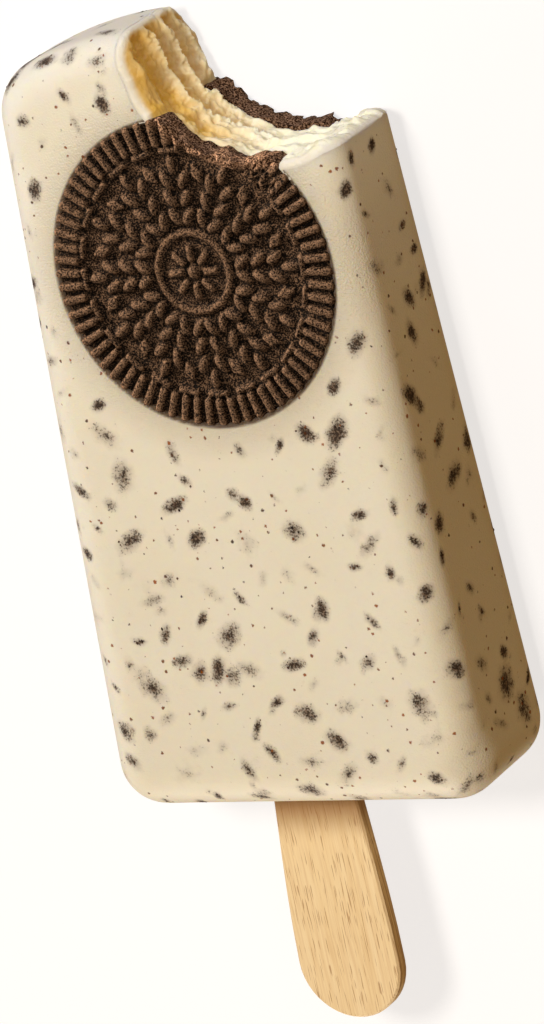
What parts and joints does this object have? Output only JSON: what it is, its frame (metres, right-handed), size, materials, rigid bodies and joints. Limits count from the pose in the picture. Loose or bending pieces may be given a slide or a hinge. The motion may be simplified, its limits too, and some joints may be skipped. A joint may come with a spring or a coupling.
{
  "type": "ice pop",
  "caption": "Ice cream bar with a pale crumb-speckled coating and a dark embossed biscuit in each face, bitten at the tip, lying on its back on a wooden stick.",
  "frame": {"origin": "below the middle of the whole, bar and stick together, on the plane that the back rests on", "axes": "+Z out of the front face, +Y along the bar toward its bitten tip, -Y toward the stick, +X toward the bitten corner"},
  "size_m": [0.0512, 0.1255, 0.02],
  "materials": {
    "coating": "smooth waxy ivory coating with dark biscuit crumbs set in it",
    "ice_cream": "pale yellow ice cream, rough where it was bitten",
    "biscuit": "dark cocoa biscuit, dry and matt, crumbly where it broke",
    "stick": "bare pale wood with fine grain along its length"
  },
  "bodies": {
    "root": {"coating": "coating", "ice_cream": "ice_cream", "biscuit_front": "biscuit", "biscuit_back": "biscuit", "stick": "stick"}
  },
  "joints": []
}
